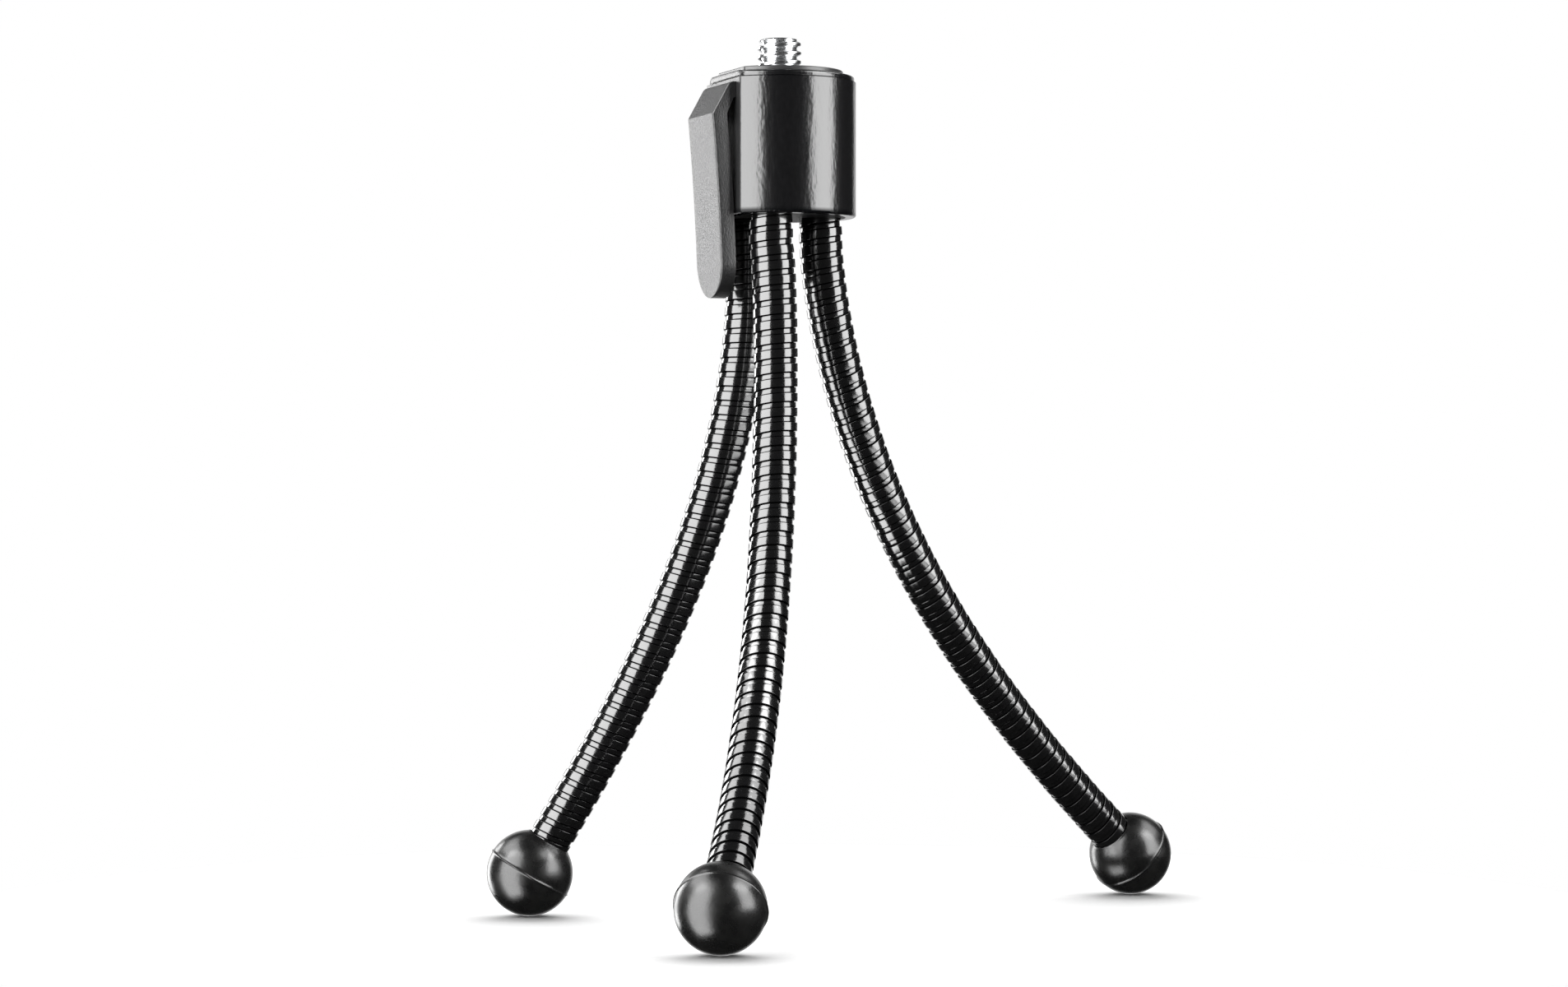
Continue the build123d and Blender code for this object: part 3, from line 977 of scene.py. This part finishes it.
# %% Shade under the tripod
SHADE_CENTRE = (15.0, 5.0)
SHADE_RADIUS = 38.0
SHADE_FADE = 4.0
SHADE_LEVEL = 0.02


def mix_shaders(tree, share, first, second):
    """The first shader where the share is 0 and the second where it is 1."""
    return add_node(tree, "ShaderNodeMixShader", {0: share, 1: first, 2: second})[0]


def shade_for_mirrors(tree):
    """Dark inside the shade's radius and clear outside it, where a reflection goes on to the room
    and its lamps."""
    place = add_node(tree, "ShaderNodeTexCoord", {})["Object"]
    centre = (SHADE_CENTRE[0] * MM, SHADE_CENTRE[1] * MM, 0)
    outside = add_node(tree, "ShaderNodeMapRange", {
        "Value": measure(tree, "DISTANCE", place, centre),
        "From Min": (SHADE_RADIUS - SHADE_FADE) * MM,
        "From Max": (SHADE_RADIUS + SHADE_FADE) * MM,
    })
    dark = add_node(tree, "ShaderNodeEmission", {"Strength": SHADE_LEVEL})
    clear = add_node(tree, "ShaderNodeBsdfTransparent", {})
    return mix_shaders(tree, outside["Result"], dark[0], clear[0])


surface = mix_shaders(tree, path["Is Glossy Ray"], painted, shade_for_mirrors(tree))
tree.links.new(surface, tree.nodes["Material Output"].inputs["Surface"])
print("floor paint has", len(tree.nodes), "nodes")

# %% Floor
FLOOR_RADIUS = 125.0
FLOOR_CORNERS = 128
FLOOR_DROP = 0.02
corner = 2 * math.pi * np.arange(FLOOR_CORNERS) / FLOOR_CORNERS
rim = FLOOR_RADIUS * np.stack([np.cos(corner), np.sin(corner), 0 * corner], -1)
floor_mesh = bpy.data.meshes.new("floor")
floor_mesh.from_pydata((rim * MM).tolist(), [], [list(range(FLOOR_CORNERS))])
floor_mesh.materials.append(floor_paint)
floor = bpy.data.objects.new("floor", floor_mesh)
floor_height = cad_low.z / MM - FLOOR_DROP
floor.location = (0, 0, floor_height * MM)
bpy.context.scene.collection.objects.link(floor)
print("floor lies at", round(floor_height, 2), "mm")

# %% [markdown]
# ## World
# A white wall stands behind the tripod, and the rest of the room is nearly dark, because that is
# what keeps the black parts black. The camera sees white in every direction, and so does a
# reflection that leaves towards the wall.

# %% World
WALL_HALF_ANGLE = 26.0
WALL_FADE = 6.0
ROOM_LEVEL = 0.03
world = bpy.data.worlds.new("studio")
bpy.context.scene.world = world
world.use_nodes = True
tree = world.node_tree
background = tree.nodes["Background"]
background.inputs["Color"].default_value = (1, 1, 1, 1)
direction = add_node(tree, "ShaderNodeTexCoord", {})["Generated"]
wall = add_node(tree, "ShaderNodeMapRange", {
    "Value": measure(tree, "DOT_PRODUCT", direction, (0, 1, 0)),
    "From Min": math.cos(math.radians(WALL_HALF_ANGLE + WALL_FADE)),
    "From Max": math.cos(math.radians(WALL_HALF_ANGLE)),
})
path = add_node(tree, "ShaderNodeLightPath", {})
bounced = calculate(tree, "MAXIMUM", path["Is Glossy Ray"], path["Is Transmission Ray"])
on_wall = calculate(tree, "MULTIPLY", bounced, wall["Result"])
shown = calculate(tree, "MAXIMUM", on_wall, path["Is Camera Ray"])
level = add_node(
    tree, "ShaderNodeMapRange", {"Value": shown, "To Min": ROOM_LEVEL, "To Max": 1.0}
)
tree.links.new(level["Result"], background.inputs["Strength"])
print("the wall spans", 2 * WALL_HALF_ANGLE, "degrees behind the tripod")

# %% [markdown]
# ## Lamps
# The two upright bands on the head are the mirror images of two tall softboxes, left and right of
# the camera, so their edges are where the bands end. A narrow one behind on the left draws the rim
# on the far side of the legs. Two level ones overhead light whatever slopes up to the camera. The
# last one lies beside the tripod, turned up, and stands for the lit table that the legs mirror low
# on the right.

# %% Softboxes
LAMP_DISTANCE = 700.0


def add_softbox(name, centre, size, turn, radiance):
    """Area lamp from millimetres and degrees. Its power is what gives its face the wanted radiance:
    radiance times area times pi."""
    data = bpy.data.lights.new(name, "AREA")
    data.shape = "RECTANGLE"
    data.size, data.size_y = size[0] * MM, size[1] * MM
    data.energy = radiance * math.pi * size[0] * MM * size[1] * MM
    lamp = bpy.data.objects.new(name, data)
    lamp.location = [value * MM for value in centre]
    lamp.rotation_euler = [math.radians(value) for value in turn]
    lamp.visible_camera = False
    bpy.context.scene.collection.objects.link(lamp)


def add_upright(name, azimuth, half_angle, low, high, radiance):
    """Upright softbox turned to the tripod. Its azimuth is measured from the camera towards the
    right, and its width is twice the distance times the tangent of its half angle."""
    angle = math.radians(azimuth)
    width = 2 * LAMP_DISTANCE * math.tan(math.radians(half_angle))
    centre = (LAMP_DISTANCE * math.sin(angle), -LAMP_DISTANCE * math.cos(angle), (low + high) / 2)
    add_softbox(name, centre, (width, high - low), (90, 0, azimuth), radiance)


print("softboxes stand", LAMP_DISTANCE, "mm away")

# %% Lamps
add_upright("left_lamp", azimuth=-54.5, half_angle=27.0, low=-1100.0, high=900.0, radiance=5.2)
add_upright("right_lamp", azimuth=69.0, half_angle=19.0, low=-100.0, high=900.0, radiance=5.2)
add_upright("rear_left_lamp", azimuth=-137.0, half_angle=8.5, low=-370.0, high=250.0, radiance=6.5)
add_softbox("left_overhead_lamp", (-925, 75, 900), (950, 1250), (0, 0, 0), radiance=3.7)
add_softbox("right_overhead_lamp", (1010, 75, 900), (980, 1250), (0, 0, 0), radiance=2.9)
add_softbox("table_lamp", (470, -210, -127), (500, 380), (180, 0, -24), radiance=2.6)
bpy.context.scene.view_settings.view_transform = "Standard"
print("lamps:", sorted(light.name for light in bpy.data.lights))
